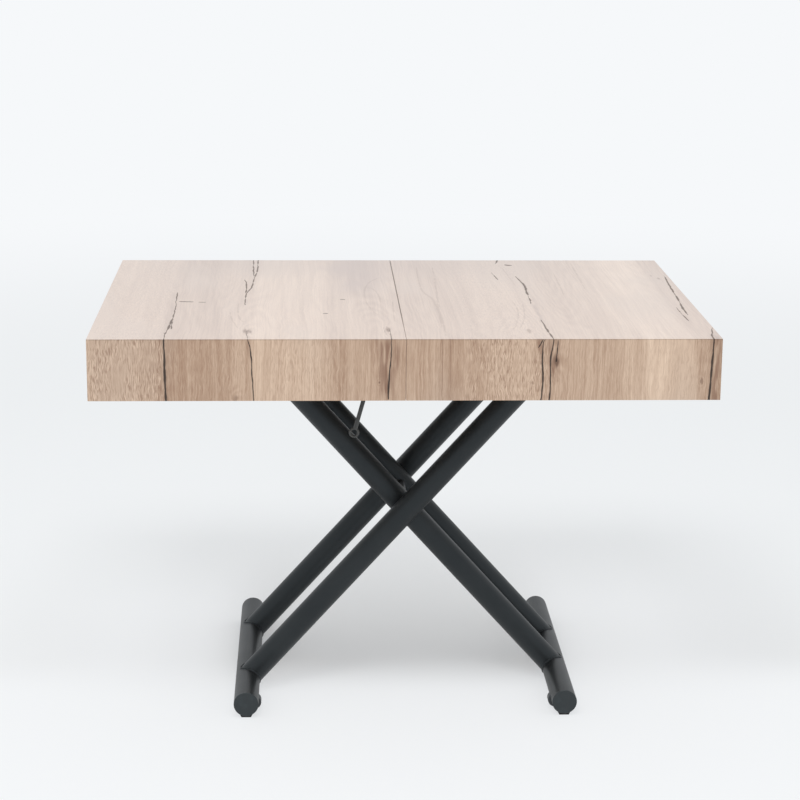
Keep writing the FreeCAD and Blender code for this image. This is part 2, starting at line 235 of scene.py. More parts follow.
def grid_mesh(name, points, wrap_rows=False, wrap_columns=False):
    """Mesh of a grid of points, rows x columns x 3: each face joins four neighbours."""
    rows, columns = points.shape[:2]
    number = np.arange(rows * columns).reshape(rows, columns)
    if wrap_rows:
        number = np.vstack([number, number[:1]])
    if wrap_columns:
        number = np.hstack([number, number[:, :1]])
    corners = [number[:-1, :-1], number[:-1, 1:], number[1:, 1:], number[1:, :-1]]
    faces = np.stack(corners, axis=-1)
    mesh = bpy.data.meshes.new(name)
    mesh.from_pydata(points.reshape(-1, 3).tolist(), [], faces.reshape(-1, 4).tolist())
    mesh.polygons.foreach_set("use_smooth", np.ones(len(mesh.polygons), dtype=bool))
    mesh.update()
    piece = bpy.data.objects.new(name, mesh)
    bpy.context.scene.collection.objects.link(piece)
    return piece


def whole_turn(count):
    """So many even steps of a turn, without the last that is the first again."""
    return np.linspace(0, 2 * np.pi, count, endpoint=False)


def disc(radius, rings, spokes):
    """Flat disc: distance from the middle grows along the rows, the turn along the columns."""
    distances = np.linspace(radius / rings, radius, rings)
    reach, turn = np.meshgrid(distances, whole_turn(spokes), indexing="ij")
    return np.stack([reach * np.cos(turn), reach * np.sin(turn), np.zeros_like(reach)], axis=-1)


floor_points = disc(floor_radius, floor_rings, floor_spokes)
floor_points[0] = 0.0
floor = grid_mesh("floor", floor_points, wrap_columns=True)
print("floor:", len(floor.data.polygons), "faces")

# %% [markdown]
# White paper in a tent is lit from everywhere and comes out nearly as bright as the sky. More
# lamps could do that, but they would also bleach the table. So a share of the paper glows, for
# the eye and for reflections only, and lights nothing. The share is shaped round the base, so it
# paints light and shadow on the floor there: in front of the base and on both sides of it the
# share is large, painted light over the cast shadow, and behind the base it is small, so that the
# soft shadow there stays as a narrow patch. Far out the paper is all glow and melts into the sky.

# %% Floor paper
sky_colour = paint(246, 248, 250)
floor_colour = paint(235, 236, 236)
glow_behind, glow_aside, glow_front = 0.20, 0.62, 0.71
shadow_start, shadow_end = -0.16, 0.06
shadow_width, shadow_reach = 0.22, 0.42
bright_width, bright_reach = 0.52, 0.92
bright_start, bright_end = 0.30, 0.90
fade_start, fade_end = 2.2, 6.0


def seen_directly(ray):
    """1 for what the eye, a mirror or glass sees, 0 for rays that carry light to other things."""
    mirrored = ray.math("MAXIMUM", ray, ray.also("Is Glossy Ray"))
    return ray.math("MAXIMUM", mirrored, ray.also("Is Transmission Ray"))


floor_finish, floor_place = new_finish("floor_paper")
paper = floor_place.node("ShaderNodeBsdfDiffuse", {}, {"Color": floor_colour})
glow = floor_place.node("ShaderNodeEmission", {}, {"Color": sky_colour, "Strength": 1.0})
reach = floor_place.node("ShaderNodeVectorMath", {"operation": "LENGTH"}, {0: floor_place}, out=1)
eye = seen_directly(floor_place.node("ShaderNodeLightPath"))
sideways, towards_back, _ = floor_place.xyz()
off_middle = abs(sideways)
# Painted light and shadow: the glow is large in front of and beside the base and small behind it.
aside = off_middle.rise(shadow_width, shadow_reach) * off_middle.rise(bright_reach, bright_width)
aside = aside * towards_back.rise(bright_end, bright_start)
around = glow_behind + (glow_aside - glow_behind) * aside
paper_glow = around + (glow_front - around) * towards_back.rise(shadow_end, shadow_start)
fade = eye * (paper_glow + (1 - paper_glow) * reach.rise(fade_start, fade_end))
shade = floor_place.node("ShaderNodeMixShader", {}, {0: fade, 1: paper, 2: glow})
floor_place.node("ShaderNodeOutputMaterial", {}, {"Surface": shade})
floor.data.materials.append(floor_finish)
print("glow of the paper:", glow_behind, "behind,", glow_aside, "aside,", glow_front, "in front")

# %% [markdown]
# ## Sky
# The walls of the tent give soft light from all round. A dome with a texture could stand for
# them, but they are even, so one pale colour is enough. What the sky gives as a lamp and what the
# eye sees of it are two backgrounds, so that the light can be set without a change to the picture.

# %% Sky
sky_light = 1.01

world = bpy.data.worlds.new("white_tent")
bpy.context.scene.world = world
world.use_nodes = True
world.node_tree.nodes.clear()
light_path = world.node_tree.nodes.new("ShaderNodeLightPath")
ray = Wire(world.node_tree, light_path.outputs["Is Camera Ray"])
seen = seen_directly(ray)
lamp_sky = ray.node("ShaderNodeBackground", {}, {"Color": sky_colour, "Strength": sky_light})
seen_sky = ray.node("ShaderNodeBackground", {}, {"Color": sky_colour, "Strength": 1.0})
sky = ray.node("ShaderNodeMixShader", {}, {0: seen, 1: lamp_sky, 2: seen_sky})
ray.node("ShaderNodeOutputWorld", {}, {"Surface": sky})
bpy.context.scene.view_settings.view_transform = "Standard"
print("sky as a lamp:", sky_light)

# %% [markdown]
# ## Softbox
# One large lamp hangs above the front, a little to the left, and throws the faint shadow behind
# the base. A sun would draw it too sharp. An area lamp softens the rim by its own size, and it is
# turned by two points: where it hangs, and what it looks at.

# %% Softbox
softbox_place = np.array([-0.4, -1.7, 3.3])
softbox_aim = np.array([0.0, 0.0, 0.6])
softbox_size = (1.6, 1.0)
softbox_power = 32.0

softbox = bpy.data.objects.new("softbox", bpy.data.lights.new("softbox", "AREA"))
softbox.data.shape = "RECTANGLE"
softbox.data.size, softbox.data.size_y = softbox_size
softbox.data.energy = softbox_power
back = (softbox_place - softbox_aim) / np.linalg.norm(softbox_place - softbox_aim)
side = np.cross([0, 0, 1], back)
side = side / np.linalg.norm(side)
stand(softbox, side, np.cross(back, side), back, softbox_place)
print("softbox:", softbox_power, "W")

# %% [markdown]
# ## Oak that folds over the edge
# The boards of the edge are cut from the same sheet as the top, so the grain runs over the
# sharp corner and down the front like water. A picture on each face would have to be matched at
# the corner. Instead, two lengths place a point on one flat sheet: `across` the grain and `along`
# it. On the top they are x and y. Past the edge, the way down the board is added to y, with the
# sign of y, and the two faces meet without a break.

# %% Places on the flat sheet
panel_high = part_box("right_panel")[1]
top_height, half_depth = panel_high.z, panel_high.y
half_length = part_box("right_end_board")[1].x
leaf_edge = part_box("rear_leaf")[1].y
edge_height = top_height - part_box("right_front_board")[0].z
past_edge, short_of_edge = 0.002, 0.004


def inside(way, edge):
    """1 where the way is short of an edge on both sides of the middle, 0 past it."""
    return abs(way).rise(edge + past_edge, edge - short_of_edge)


def folded(way, z):
    """A way on the top, with the drop below the top added to it, with the sign of the way."""
    return way + way.math("SIGN", way) * (top_height - z)


def front_sheet(place):
    """(across, along, on the flat face) where the sheet folds down at the front and rear edge."""
    x, y, z = place.xyz()
    along = folded(y, z)
    return x, along, inside(along, half_depth)


def end_sheet(place):
    """(across, along, on the flat face) where the sheet folds down at the two ends."""
    x, y, z = place.xyz()
    across = folded(x, z)
    return across, y, inside(across, half_length)


def leaf_sheet(place):
    """(across, along, on the flat face) on a leaf, which lies turned by a quarter while stored."""
    x, y, _ = place.xyz()
    return y, x, inside(y, leaf_edge)


print("sheet reaches", round(half_depth + edge_height, 3), "m from the middle at the front")

# %% [markdown]
# ## Cracks
# The oak is rustic: dark drying cracks follow the grain, and some open out towards the edge and
# run down it. They are what one remembers of this top, and noise alone would put them anywhere.
# So each gets its own line: points of (along, across, width) on the flat sheet. The short cross
# cracks lie over the grain, and there the first two numbers change places.

# %% Cracks
oak_cracks = {
    "left": [(0.039, -0.4368, 0.0008), (0.007, -0.4356, 0.0022), (-0.043, -0.4344, 0.0014),
             (-0.176, -0.4309, 0.0022), (-0.257, -0.4323, 0.0038), (-0.334, -0.4356, 0.0038),
             (-0.388, -0.4367, 0.0030), (-0.400, -0.4362, 0.0038), (-0.466, -0.4353, 0.0050),
             (-0.520, -0.4335, 0.0052)],
    "left_splinter": [(-0.222, -0.4330, 0.0006), (-0.268, -0.4295, 0.0030),
                      (-0.312, -0.4280, 0.0006)],
    "pair_main": [(0.520, -0.282, 0.0020), (0.378, -0.284, 0.0022), (0.290, -0.283, 0.0026),
                  (0.177, -0.288, 0.0024), (0.101, -0.290, 0.0024), (0.038, -0.298, 0.0020),
                  (-0.003, -0.300, 0.0026), (-0.089, -0.299, 0.0008)],
    "pair_branch": [(0.173, -0.307, 0.0012), (0.090, -0.301, 0.0026), (0.028, -0.301, 0.0016)],
    "pair_second": [(0.420, -0.294, 0.0012), (0.300, -0.292, 0.0022), (0.199, -0.288, 0.0012)],
    "pair_front": [(-0.325, -0.2890, 0.0008), (-0.351, -0.2888, 0.0026), (-0.378, -0.2872, 0.0016),
                   (-0.400, -0.2850, 0.0016), (-0.423, -0.2808, 0.0024), (-0.482, -0.2775, 0.0026),
                   (-0.520, -0.2755, 0.0026)],
    "heart_front": [(-0.310, -0.0275, 0.0010), (-0.402, -0.0265, 0.0018),
                    (-0.452, -0.0290, 0.0026), (-0.475, -0.0310, 0.0042),
                    (-0.512, -0.0320, 0.0018)],
    "right_rear": [(0.410, 0.2345, 0.0016), (0.382, 0.2300, 0.0034), (0.355, 0.2245, 0.0010)],
    "right_first": [(0.257, 0.2080, 0.0010), (0.213, 0.2115, 0.0024), (0.174, 0.2150, 0.0012)],
    "right_second": [(0.213, 0.2540, 0.0012), (0.150, 0.2605, 0.0030), (0.109, 0.2635, 0.0036),
                     (0.039, 0.2610, 0.0034), (-0.038, 0.2600, 0.0026), (-0.075, 0.2580, 0.0008)],
    "right_third": [(-0.230, 0.262, 0.0014), (-0.308, 0.263, 0.0030), (-0.378, 0.266, 0.0034),
                    (-0.405, 0.2665, 0.0030), (-0.438, 0.2615, 0.0036), (-0.468, 0.2625, 0.0030),
                    (-0.520, 0.2595, 0.0030)],
    "right_front": [(-0.400, 0.2530, 0.0014), (-0.427, 0.2470, 0.0034), (-0.446, 0.2470, 0.0042),
                    (-0.470, 0.2485, 0.0036), (-0.520, 0.2450, 0.0026)],
    "right_slant": [(-0.400, 0.2480, 0.0014), (-0.408, 0.2440, 0.0034), (-0.416, 0.2390, 0.0010)],
    "right_knot": [(-0.402, 0.2750, 0.0010), (-0.420, 0.2735, 0.0022), (-0.442, 0.2725, 0.0030)],
    "end_main": [(0.223, 0.568, 0.0014), (0.091, 0.560, 0.0030), (-0.044, 0.554, 0.0034),
                 (-0.123, 0.549, 0.0036), (-0.186, 0.548, 0.0010)],
    "end_second": [(-0.111, 0.5382, 0.0006), (-0.170, 0.5374, 0.0020), (-0.207, 0.5386, 0.0022),
                   (-0.242, 0.5405, 0.0008)],
    "end_front": [(-0.300, 0.5735, 0.0006), (-0.342, 0.5657, 0.0024), (-0.380, 0.5595, 0.0030),
                  (-0.408, 0.5585, 0.0038), (-0.468, 0.5565, 0.0046), (-0.520, 0.5530, 0.0046)],
}
cross_cracks = {
    "left_cross": [(-0.428, -0.053, 0.0030), (-0.416, -0.055, 0.0060), (-0.400, -0.057, 0.0026)],
    "left_cross_end": [(-0.390, -0.060, 0.0016), (-0.382, -0.061, 0.0036),
                       (-0.376, -0.061, 0.0016)],
    "rear_dash": [(0.2435, 0.346, 0.0040), (0.2503, 0.341, 0.0100), (0.2590, 0.338, 0.0040)],
    "middle_dash": [(-0.149, -0.170, 0.0020), (-0.144, -0.170, 0.0046), (-0.139, -0.171, 0.0020)],
    "middle_dash_second": [(-0.114, -0.033, 0.0020), (-0.109, -0.034, 0.0044),
                           (-0.104, -0.034, 0.0020)],
}
end_cracks = {
    "end_board": [(-0.260, 0.640, 0.0008), (-0.120, 0.636, 0.0024), (0.010, 0.637, 0.0010)],
    "end_low": [(0.400, 0.668, 0.0022), (0.250, 0.664, 0.0026), (0.120, 0.666, 0.0010)],
}
print("cracks:", len(oak_cracks), " across:", len(cross_cracks), " at the ends:", len(end_cracks))

# %% [markdown]
# ## Veins
# Veins are brown lines where a growth ring comes to the surface. They are closed wood, so they
# take colour and hardly any depth. They are drawn like the cracks, with the same three numbers.

# %% Veins
oak_veins = {
    "heart_line": [(-0.404, -0.0440, 0.0010), (-0.420, -0.0440, 0.0024), (-0.440, -0.0460, 0.0010),
                   (-0.458, -0.0470, 0.0020), (-0.474, -0.0480, 0.0008)],
    "heart_hair": [(-0.440, -0.0350, 0.0008), (-0.464, -0.0370, 0.0020), (-0.500, -0.0380, 0.0008)],
    "heart_knot": [(-0.305, -0.0340, 0.0030), (-0.350, -0.0300, 0.0024), (-0.405, -0.0260, 0.0014)],
    "middle_line": [(-0.400, 0.0650, 0.0016), (-0.450, 0.0655, 0.0024), (-0.520, 0.0660, 0.0012)],
    "middle_hair": [(-0.396, 0.0790, 0.0010), (-0.430, 0.0800, 0.0018), (-0.490, 0.0810, 0.0010)],
    "pair_curl": [(-0.070, -0.3120, 0.0010), (-0.169, -0.3100, 0.0030), (-0.225, -0.3040, 0.0030),
                  (-0.250, -0.2920, 0.0010)],
    "middle_curl": [(0.200, -0.0270, 0.0010), (0.177, -0.0400, 0.0030), (0.123, -0.0560, 0.0034),
                    (0.028, -0.0650, 0.0030), (-0.113, -0.0580, 0.0026), (-0.189, -0.0300, 0.0010)],
    "middle_loop": [(0.091, -0.0590, 0.0010), (0.007, -0.0370, 0.0030), (-0.113, -0.0370, 0.0010)],
    "middle_edge": [(-0.054, -0.0120, 0.0010), (-0.150, -0.0140, 0.0030),
                    (-0.244, -0.0150, 0.0010)],
    "streak": [(0.314, 0.0530, 0.0020), (0.091, 0.0510, 0.0034), (-0.034, 0.0680, 0.0048),
               (-0.189, 0.0740, 0.0044), (-0.369, 0.0740, 0.0016)],
    "streak_second": [(0.314, 0.0870, 0.0020), (0.134, 0.0830, 0.0036), (-0.113, 0.0750, 0.0034),
                      (-0.299, 0.0700, 0.0012)],
    "right_loop": [(-0.054, 0.2240, 0.0010), (-0.132, 0.2260, 0.0030), (-0.263, 0.2120, 0.0030),
                   (-0.317, 0.2000, 0.0010)],
    "right_loop_second": [(-0.074, 0.2420, 0.0010), (-0.189, 0.2340, 0.0030),
                          (-0.299, 0.2160, 0.0010)],
    "rear_slant": [(0.335, 0.2260, 0.0010), (0.290, 0.2360, 0.0024), (0.213, 0.2400, 0.0024),
                   (0.109, 0.2450, 0.0010)],
    "right_line": [(0.245, 0.3380, 0.0010), (0.091, 0.3350, 0.0030), (0.017, 0.3330, 0.0010)],
    "right_line_second": [(0.363, 0.3880, 0.0016), (0.200, 0.3850, 0.0030),
                          (0.048, 0.3830, 0.0010)],
    "left_line": [(-0.153, -0.3258, 0.0010), (-0.223, -0.3200, 0.0026), (-0.268, -0.3126, 0.0024),
                  (-0.302, -0.3070, 0.0010)],
}
print("veins:", len(oak_veins))

# %% [markdown]
# ## Knots and stains
# Knots and arches are ellipses: (across, along) of the middle and how far they reach both ways,
# and for a knot also how dark its middle is. At an arch the growth rings close into a long
# pointed loop, as they do where the saw just touches a ring. Stains and shades are long soft
# strips: middle, the two ends along the grain, reach to the side and strength. The shades are
# painted shade: they darken the top towards its rear edge.

# %% Knots, arches, stains and shades
oak_knots = {
    "pair": (-0.2885, -0.330, 0.0100, 0.028, 0.70),
    "heart": (-0.0300, -0.325, 0.0065, 0.030, 0.75),
    "heart_pin": (-0.0480, -0.480, 0.0028, 0.0038, 0.95),
    "right": (0.2724, -0.4410, 0.0080, 0.0120, 0.95),
    "right_spot": (0.2308, -0.4810, 0.0040, 0.0045, 0.40),
    "end_spot": (0.5380, -0.4790, 0.0038, 0.0050, 0.45),
    "left_foot": (-0.3070, -0.5080, 0.0080, 0.0080, 0.40),
    "faint": (-0.2090, -0.4530, 0.0070, 0.0150, 0.15),
    "right_smudge": (0.2290, -0.3340, 0.0060, 0.0200, 0.40),
    "end_first": (0.5510, 0.1890, 0.0050, 0.0160, 0.40),
    "end_second": (0.5390, 0.2230, 0.0040, 0.0140, 0.35),
}
oak_arches = {
    "pair": (-0.305, -0.170, 0.022, 0.110),
    "middle": (-0.050, 0.020, 0.030, 0.150),
    "right": (0.235, -0.180, 0.028, 0.120),
}
oak_stains = [
    (-0.0330, -0.510, -0.400, 0.024, 0.90),
    (-0.0170, -0.455, -0.410, 0.009, 0.90),
    (-0.0580, -0.432, -0.398, 0.012, 0.90),
    (0.5670, -0.530, -0.335, 0.014, 0.80),
    (0.2640, -0.260, -0.030, 0.008, 0.60),
    (0.2680, -0.475, -0.398, 0.018, 0.85),
    (0.2420, -0.440, -0.396, 0.014, 0.80),
    (-0.2830, -0.425, -0.380, 0.005, 0.80),
    (0.3440, -0.305, -0.280, 0.014, 0.30),
]
# Painted shade: these strips darken the top towards its rear edge.
painted_rear_shades = [
    (-0.0900, 0.050, 0.520, 0.075, 0.55),
    (0.0500, 0.240, 0.520, 0.400, 0.28),
    (-0.3000, 0.260, 0.520, 0.200, 0.25),
]
print("knots:", len(oak_knots), " arches:", len(oak_arches), " stains:", len(oak_stains))

# %% [markdown]
# ## Layers of noise
# Everything fine in the wood comes from cloudy noise that is stretched along the grain. A picture
# of wood would blur close up and repeat, and noise does neither. Each layer has its own spots a
# metre across and along, its detail and roughness, and a shift that keeps it unlike the others.

# %% Layers of noise
oak_layers = {
    "sway": (4.0, 2.2, 2.0, 0.5, 7.0),
    "wiggle": (30.0, 26.0, 2.0, 0.5, 31.0),
    "waves": (90.0, 70.0, 1.0, 0.5, 37.0),
    "growth": (9.0, 0.75, 1.0, 0.5, 3.0),
    "streaks": (65.0, 1.6, 3.0, 0.6, 17.0),
    "bands": (24.0, 1.1, 2.0, 0.6, 13.0),
    "lines": (330.0, 3.5, 2.0, 0.6, 19.0),
    "fibres": (480.0, 26.0, 3.0, 0.65, 23.0),
    "patches": (24.0, 10.0, 2.0, 0.5, 43.0),
    "dark_flecks": (600.0, 58.0, 1.0, 0.5, 29.0),
    "pale_flecks": (580.0, 52.0, 1.0, 0.5, 47.0),
    "clouds": (5.0, 2.0, 2.0, 0.5, 41.0),
    "torn": (120.0, 16.0, 2.0, 0.5, 67.0),
    "fray": (170.0, 45.0, 2.0, 0.5, 53.0),
    "dashes": (40.0, 24.0, 1.0, 0.5, 61.0),
    "wander": (60.0, 90.0, 1.0, 0.5, 0.0),
}
noise_middle = 0.5


def layer(name, across, along):
    """Noise from 0 to 1 over the sheet, with the settings of that layer."""
    per_across, per_along, detail, roughness, shift = oak_layers[name]
    spot = {"X": across * per_across + shift, "Y": along * per_along}
    spot = across.node("ShaderNodeCombineXYZ", {}, spot)
    return across.node(
        "ShaderNodeTexNoise", {"noise_dimensions": "2D"},
        {"Vector": spot, "Scale": 1.0, "Detail": detail, "Roughness": roughness},
    )


def ripple(name, across, along):
    """The same noise, moved so that its middle is zero."""
    return layer(name, across, along) - noise_middle


print("layers of noise:", len(oak_layers))

# %% [markdown]
# ## Masks for the marks
# A mask says where a mark lies: 1 on it and 0 beside it. It could be painted, but a formula stays
# sharp at any distance. A crack is the distance from a curve, set against the width there, so one
# curve node carries the line and another the width. Noise that is added to the distance frays
# the rims, and noise on the width breaks the thin ends into dashes.

# %% Masks for the marks
crack_rim, crack_core = 1.25, 0.35
least_span = 1e-6


def by_column(rows):
    """Rows of numbers as one array for each column."""
    return [np.array(column) for column in zip(*rows)]


def curve_of(wire, places, heights):
    """A smooth curve through points: first scaled to 0..1 both ways, then back to its heights."""
    start, length = places[0], places[-1] - places[0]
    low, span = heights.min(), np.ptp(heights) + least_span
    share = (wire - start) / length
    bends = np.column_stack([(places - start) / length, (heights - low) / span]).tolist()
    return share.node("ShaderNodeFloatCurve", {"bends": bends}, {"Value": share}) * span + low


def crack_mask(across, along, path, fray, wholeness):
    """1 in the middle of a crack, 0 outside: distance from the curve, set against its width."""
    starts, lines, widths = by_column(path)
    half_width = curve_of(along, starts, widths / 2) * wholeness
    away = abs(across - curve_of(along, starts, lines) + fray)
    within = along.math("GREATER_THAN", along, starts.min())
    within = within * along.math("LESS_THAN", along, starts.max())
    return (away / half_width).rise(crack_rim, crack_core) * within


def knot_distance(across, along, knot):
    """0 in the middle of a knot and 1 at its rim, an ellipse stretched along the grain."""
    middle_across, middle_along, reach_across, reach_along = knot[:4]
    a = (across - middle_across) / reach_across
    b = (along - middle_along) / reach_along
    return across.math("SQRT", a * a + b * b)


def bell(distance, sharpness):
    """1 at no distance, falling off as a bell curve."""
    return distance.math("EXPONENT", distance * distance * -sharpness)


def strongest(masks):
    """The largest of some masks at each point, taken in one after another."""
    most = None
    for mask in masks:
        most = mask if most is None else mask.math("MAXIMUM", most, mask)
    return most


print("masks: crack, knot, bell; a crack fades from", crack_core, "to", crack_rim, "half widths")

# %% [markdown]
# ## The boards of the top
# The top is glued from boards, and no two are alike: they differ in tone, and some are
# straight-grained while others are full of short wavy flecks. Separate materials would show hard
# joints where the real ones are hard to see. So two curves over the width say how pale and how
# flecked the wood is, as points of (across, share).

# %% Tones of the boards
oak_dark = paint(154, 119, 92)
oak_pale = paint(221, 194, 169)
oak_grey = paint(184, 161, 142)
oak_brown = paint(126, 88, 62)
# This colour is a painted sheen: the flat face of the top is paled towards it for its haze.
painted_sheen_colour = paint(231, 217, 213)
# Colour of the painted shade towards the rear of the top.
painted_shade_colour = paint(142, 112, 98)
oak_crack = paint(42, 35, 32)
oak_boards = [(-0.600, 0.42), (-0.520, 0.44), (-0.445, 0.24), (-0.432, 0.14), (-0.385, 0.13),
              (-0.340, 0.30), (-0.285, 0.32), (-0.270, 0.66), (-0.170, 0.66), (-0.110, 0.28),
              (-0.020, 0.28), (0.030, 0.28), (0.068, 0.16), (0.110, 0.30), (0.135, 0.30),
              (0.160, 0.50), (0.200, 0.52), (0.260, 0.38), (0.330, 0.34), (0.385, 0.46),
              (0.440, 0.74), (0.485, 0.88), (0.530, 0.52), (0.550, 0.22), (0.600, 0.58)]
oak_flecks = [(-0.640, 0.40), (-0.570, 0.85), (-0.445, 0.85), (-0.430, 0.20), (-0.300, 0.25),
              (-0.265, 0.10), (-0.225, 0.30), (-0.130, 0.25), (-0.050, 0.10), (0.090, 0.15),
              (0.140, 0.85), (0.220, 0.85), (0.290, 0.20), (0.400, 0.15), (0.540, 0.20),
              (0.600, 0.20)]
print("boards:", len(oak_boards), "tones,", len(oak_flecks), "shares of flecks")

# %% [markdown]
# ## Growth rings, fibres and flecks
# Flat-sawn oak shows the edges of its growth rings as long lines that close into arches. A wave
# texture would give rings as even as a printed pattern. Contour lines of a noise that is
# stretched along the grain look grown: where the noise is steep they run straight and close
# together, where it is flat they open into an arch. Knots and arches add a bump to the noise, and
# the lines go round it.

# %% Growth rings, fibres and flecks
sway_reach, wiggle_reach, wave_reach = 0.020, 0.005, 0.0035
loop_sharpness, loop_height = 0.30, 0.10
ring_count, ring_swing = 125.0, 0.5
plain_rings, loop_rings = 0.10, 0.10
face_tone, face_evenness = 0.52, 0.30
band_depth, streak_depth, fibre_depth = 0.45, 0.40, 0.55
line_depth, line_most = 0.6, 1.25
patch_start, patch_full = 0.15, 0.55
fleck_start, fleck_full = 0.53, 0.63
stray_dark, stray_pale = 0.10, 0.08


def oak_figure(across, along, face, bumps):
    """Tone from 0 to 1, dark flecks, pale flecks and fibres of the bare wood.

    The tone is the board's own, plus bands, streaks, lines, fibres and the sine of the growth.
    """
    sway = ripple("sway", across, along)
    wiggle = ripple("wiggle", across, along)
    bent = across + sway * sway_reach + wiggle * wiggle_reach
    wavy = bent + ripple("waves", across, along) * wave_reach
    growth = layer("growth", bent, along)
    loops = None
    for bump in bumps:
        loop = bell(knot_distance(across, along, bump), loop_sharpness)
        growth = growth + loop * loop_height
        loops = loop if loops is None else loops.math("MAXIMUM", loops, loop)
    rings = growth.math("SINE", growth * ring_count) * ring_swing
    ring_depth = plain_rings if loops is None else loops * loop_rings + plain_rings

    tone = curve_of(across, *by_column(oak_boards))
    tone = tone + face * (face_tone - tone) * face_evenness
    flecked = curve_of(across, *by_column(oak_flecks))
    streaks = ripple("streaks", bent, along)
    bands = ripple("bands", bent, along)
    lines = ripple("lines", bent, along)
    fibres = ripple("fibres", wavy, along)
    tone = tone + bands * band_depth + streaks * streak_depth
    tone = tone + lines * (line_most - flecked) * line_depth + fibres * fibre_depth
    tone = tone + rings * ring_depth
    patches = layer("patches", across, along).rise(patch_start, patch_full) * flecked
    dark = layer("dark_flecks", wavy, along).rise(fleck_start, fleck_full) * (patches + stray_dark)
    pale = layer("pale_flecks", wavy, along).rise(fleck_start, fleck_full) * (patches + stray_pale)
    return tone, dark, pale, fibres


print("figure:", ring_count, "rings, depths", band_depth, streak_depth, line_depth, fibre_depth)

# %% [markdown]
# ## Colour of the wood
# The tone picks a colour between a dark and a pale oak. A ramp with many stops could hold all the
# browns, but then each would follow the grain. So grey clouds, flecks, brown stains and a painted
# shade towards the rear are thin layers, each over the one before. The flat face is painted paler
# and greyer, a painted sheen for the haze that its lacquer reflects, and half of its flecks are
# hidden there.

# %% Colour of the wood
cloud_start, cloud_full, cloud_share = 0.50, 0.72, 0.40
pale_share, dark_share, fleck_loss = 0.60, 0.62, 0.5
torn_start, torn_full = 0.30, 0.62
stain_fray, stain_start, stain_end = 0.016, 0.02, 0.015
shade_fray, shade_start, shade_end = 0.06, 0.10, 0.05
# Share of the painted sheen on the flat face.
painted_sheen_share = 0.22


def between(along, low, high, soft_low, soft_high):
    """1 between two ends along the grain, with a soft rise and fall of that half length."""
    start = along.rise(low - soft_low, low + soft_low)
    return start * along.rise(high + soft_high, high - soft_high)


def oak_colour(across, along, face, figure, stains, painted_shades):
    """Bare wood from its figure, then stains, painted shade towards the rear and a painted sheen on the flat face.
    """
    tone, dark, pale = figure
    colour = tone.tint(oak_dark, oak_pale)
    clouds = layer("clouds", across, along).rise(cloud_start, cloud_full)
    colour = (clouds * cloud_share).tint(colour, oak_grey)
    colour = (pale * pale_share * (1 - face * fleck_loss)).tint(colour, oak_pale)
    colour = (dark * dark_share * (1 - face * fleck_loss)).tint(colour, oak_brown)
    torn = layer("torn", across, along)
    for middle, low, high, reach, strength in stains:
        near = abs(across - middle + (torn - noise_middle) * stain_fray).rise(reach, 0.0)
        ends = between(along, low, high, stain_start, stain_end)
        stain = near * ends * torn.rise(torn_start, torn_full) * strength
        colour = stain.tint(colour, oak_brown)
    # Painted shade: strips that darken the top towards its rear.
    for middle, low, high, reach, strength in painted_shades:
        near = abs(across - middle + (clouds - noise_middle) * shade_fray).rise(reach, 0.0)
        ends = between(along, low, high, shade_start, shade_end)
        colour = (near * ends * strength).tint(colour, painted_shade_colour)
    # Painted sheen: the flat face is paled and greyed by this share.
    return (face * painted_sheen_share).tint(colour, painted_sheen_colour), torn


print("over the bare tone:", len(oak_stains), "stains and", len(painted_rear_shades), "painted_shades")

# %% [markdown]
# ## Oak finish
# One function mixes the finish for every wooden piece. The pieces only differ in how their
# sheet is folded and in which marks lie on them. The thin satin lacquer matters as much as the
# figure: seen along the top it mirrors the pale room and washes the colour out, while the front,
# which is seen square on, keeps its full warm tone. A coat layer does most of that, and a painted
# sheen on the flat face adds the rest. On the flat face lacquer fills the marks in part, so there
# they are thinner and fainter.

# %% Oak finish
fray_reach = 0.0030
dash_start, dash_full, dash_gain, dash_loss = 0.34, 0.50, 0.95, 0.50
knot_fray, knot_rim, knot_core, knot_gap = 3.0, 1.1, 0.1, 0.45
vein_share, vein_loss, vein_gap = 0.50, 0.28, 0.05
gap_share, gap_loss = 0.94, 0.18
oak_roughness, fibre_roughness, gap_roughness = 0.42, 0.2, 0.5
oak_index, coat_roughness = 1.5, 0.3
fibre_height = 0.0001


def oak_finish(
    name, sheet, folds, cracks=(), cross=(), veins=(), knots=(), arches=(), stains=(), painted_shades=()
):
    """Oak on a flat sheet, given the function that finds a point's place on it.

    The gap is the largest of folds, knots, veins and cracks: it darkens, roughens and uncoats.
    """
    finish, place = new_finish(name)
    across, along, face = sheet(place)
    *figure, fibres = oak_figure(across, along, face, [*knots, *arches])
    colour, torn = oak_colour(across, along, face, figure, stains, painted_shades)
    fray = ripple("fray", across, along) * fray_reach
    dashes = layer("dashes", across, along).rise(dash_start, dash_full)
    wholeness = 1 + face * (dashes * dash_gain - dash_loss)
    gap = strongest(folds(across, along))
    if knots:
        core = strongest(
            (knot_distance(across, along, ellipse) + (torn - noise_middle) * knot_fray)
            .rise(knot_rim, knot_core) * darkness for *ellipse, darkness in knots
        )
        colour = core.tint(colour, oak_brown)
        gap = strongest([gap, core * knot_gap])
    if veins:
        vein = strongest(crack_mask(across, along, path, fray, wholeness) for path in veins)
        colour = (vein * (vein_share - face * vein_loss)).tint(colour, oak_brown)
        gap = strongest([gap, vein * vein_gap])
    for path in cracks:
        gap = strongest([gap, crack_mask(across, along, path, fray, wholeness)])
    for path in cross:
        gap = strongest([gap, crack_mask(along, across, path, fray, wholeness)])
    gap = gap * (gap_share - face * gap_loss)
    sockets = {
        "Base Color": gap.tint(colour, oak_crack),
        "Roughness": oak_roughness + fibres * fibre_roughness + gap * gap_roughness,
        "IOR": oak_index,
        "Coat Weight": 1 - gap,
        "Coat Roughness": coat_roughness,
    }
    close_finish(place, sockets, fibres, fibre_height)
    return finish


